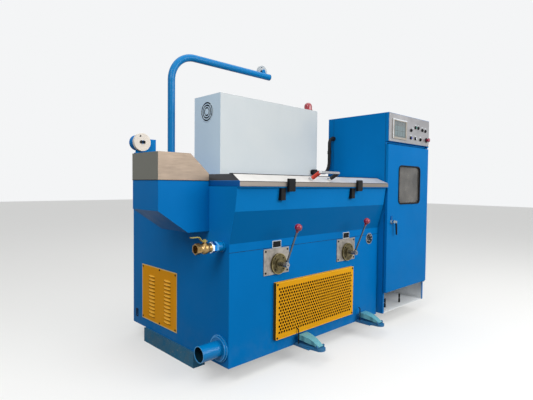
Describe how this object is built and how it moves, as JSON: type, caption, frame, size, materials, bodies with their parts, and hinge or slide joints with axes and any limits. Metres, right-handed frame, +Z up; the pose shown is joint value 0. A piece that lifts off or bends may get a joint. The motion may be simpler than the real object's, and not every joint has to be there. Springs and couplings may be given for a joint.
{
  "type": "wire drawing machine",
  "caption": "Wire drawing machine: closed housing with a lidded trough, entry box, guide arm with sheave, fan enclosure, gear levers, foot pedals and an electrical cabinet",
  "frame": {"origin": "middle of the left skid's bottom face, on the floor", "axes": "+X along the housing from the entry box to the cabinet, +Y from the operator to the back, +Z up"},
  "size_m": [2.988, 1.5829, 2.495],
  "materials": {
    "housing_blue": "gloss machine enamel",
    "skid_blue": "worn machine enamel",
    "stainless": "brushed stainless sheet",
    "bar_steel": "polished bar",
    "grip_red": "dipped vinyl sleeve",
    "black_plastic": "moulded, matte",
    "black_rubber": "matte rubber",
    "enclosure_grey": "fine powder coat",
    "beacon_red": "translucent moulded lens",
    "guard_yellow": "satin powder coat",
    "zinc": "zinc-plated sheet",
    "door_glass": "clear safety glass",
    "screen": "touch screen, switched off",
    "bronze": "machined bronze, oiled",
    "lever_steel": "ground steel",
    "knob_red": "moulded ball knob",
    "valve_brass": "machined brass",
    "handle_yellow": "dipped lever",
    "pedal_teal": "hammered casting paint",
    "pedal_blue": "hammered casting paint",
    "sheave_steel": "turned"
  },
  "bodies": {
    "machine": {"skids": "skid_blue", "lower_housing": "housing_blue", "trough": "housing_blue", "rear_housing": "housing_blue", "back_covers": "housing_blue", "latch_blocks": "black_plastic", "entry_box": "housing_blue", "entry_cover": "stainless", "entry_sheave_bracket": "housing_blue", "guide_arm": "housing_blue", "fan_enclosure": "enclosure_grey", "fan_vent": "enclosure_grey", "beacon": "beacon_red", "cabinet_shell": "housing_blue", "cabinet_floor": "zinc", "mounting_plate": "zinc", "control_panel": "stainless", "screen_bezel": "black_plastic", "screen_glass": "screen", "push_buttons": "black_plastic", "emergency_stop": "knob_red", "door_hinges": "lever_steel", "front_guard": "guard_yellow", "louvre_panel": "guard_yellow", "lever_plates": "stainless", "lever_flanges": "bronze", "round_vent": "sheave_steel", "drain_pipe": "housing_blue", "valve_nipple": "housing_blue", "valve_body": "valve_brass", "pedal_bases": "pedal_blue", "pedal_cables": "black_rubber", "conduit": "black_rubber"},
    "lid": {"lid": "stainless", "lid_handle_bar": "bar_steel", "lid_grips": "grip_red", "lid_catches": "black_plastic"},
    "door": {"door": "housing_blue", "window_gasket": "black_rubber", "window_glass": "door_glass", "door_lock": "lever_steel"},
    "door_handle": {"door_handle": "lever_steel"},
    "entry_sheave": {"entry_sheave": "sheave_steel"},
    "arm_sheave": {"arm_sheave": "sheave_steel"},
    "left_lever": {"left_lever": "lever_steel", "left_knob": "knob_red"},
    "right_lever": {"right_lever": "lever_steel", "right_knob": "knob_red"},
    "valve_handle": {"valve_handle": "handle_yellow"},
    "left_pedal": {"left_treadle": "pedal_teal"},
    "right_pedal": {"right_treadle": "pedal_teal"}
  },
  "joints": [
    {"name": "lid_hinge", "type": "hinge", "parent": "machine", "child": "lid", "pos_m": [0.853, -0.304, 1.373], "axis": [-1, 0, 0], "range_deg": [0, 75]},
    {"name": "door_hinge", "type": "hinge", "parent": "machine", "child": "door", "pos_m": [2.542, -0.811, 1], "axis": [0, 0, 1], "range_deg": [0, 100]},
    {"name": "door_handle_turn", "type": "hinge", "parent": "door", "child": "door_handle", "pos_m": [1.826, -0.839, 0.984], "axis": [0, -1, 0], "range_deg": [0, 70]},
    {"name": "entry_sheave_spin", "type": "hinge", "parent": "machine", "child": "entry_sheave", "pos_m": [-0.379, -0.234, 1.591], "axis": [0, 1, 0], "continuous": true},
    {"name": "arm_sheave_spin", "type": "hinge", "parent": "machine", "child": "arm_sheave", "pos_m": [1.162, 0.249, 2.436], "axis": [0, 1, 0], "continuous": true},
    {"name": "left_lever_turn", "type": "hinge", "parent": "machine", "child": "left_lever", "pos_m": [0.412, -0.799, 0.752], "axis": [0, 1, 0], "range_deg": [-30, 30]},
    {"name": "right_lever_turn", "type": "hinge", "parent": "machine", "child": "right_lever", "pos_m": [1.249, -0.799, 0.752], "axis": [0, 1, 0], "range_deg": [-30, 30]},
    {"name": "valve_turn", "type": "hinge", "parent": "machine", "child": "valve_handle", "pos_m": [-0.17822, -0.673, 0.96], "axis": [0, 0, 1], "range_deg": [0, 90]},
    {"name": "left_pedal_press", "type": "hinge", "parent": "machine", "child": "left_pedal", "pos_m": [0.658, -0.941, 0.143], "axis": [-1, 0, 0], "range_deg": [0, 8], "stiffness_Nm_per_rad": 14, "springref_deg": -28.65},
    {"name": "right_pedal_press", "type": "hinge", "parent": "machine", "child": "right_pedal", "pos_m": [1.464, -0.941, 0.143], "axis": [-1, 0, 0], "range_deg": [0, 8], "stiffness_Nm_per_rad": 14, "springref_deg": -28.65}
  ]
}
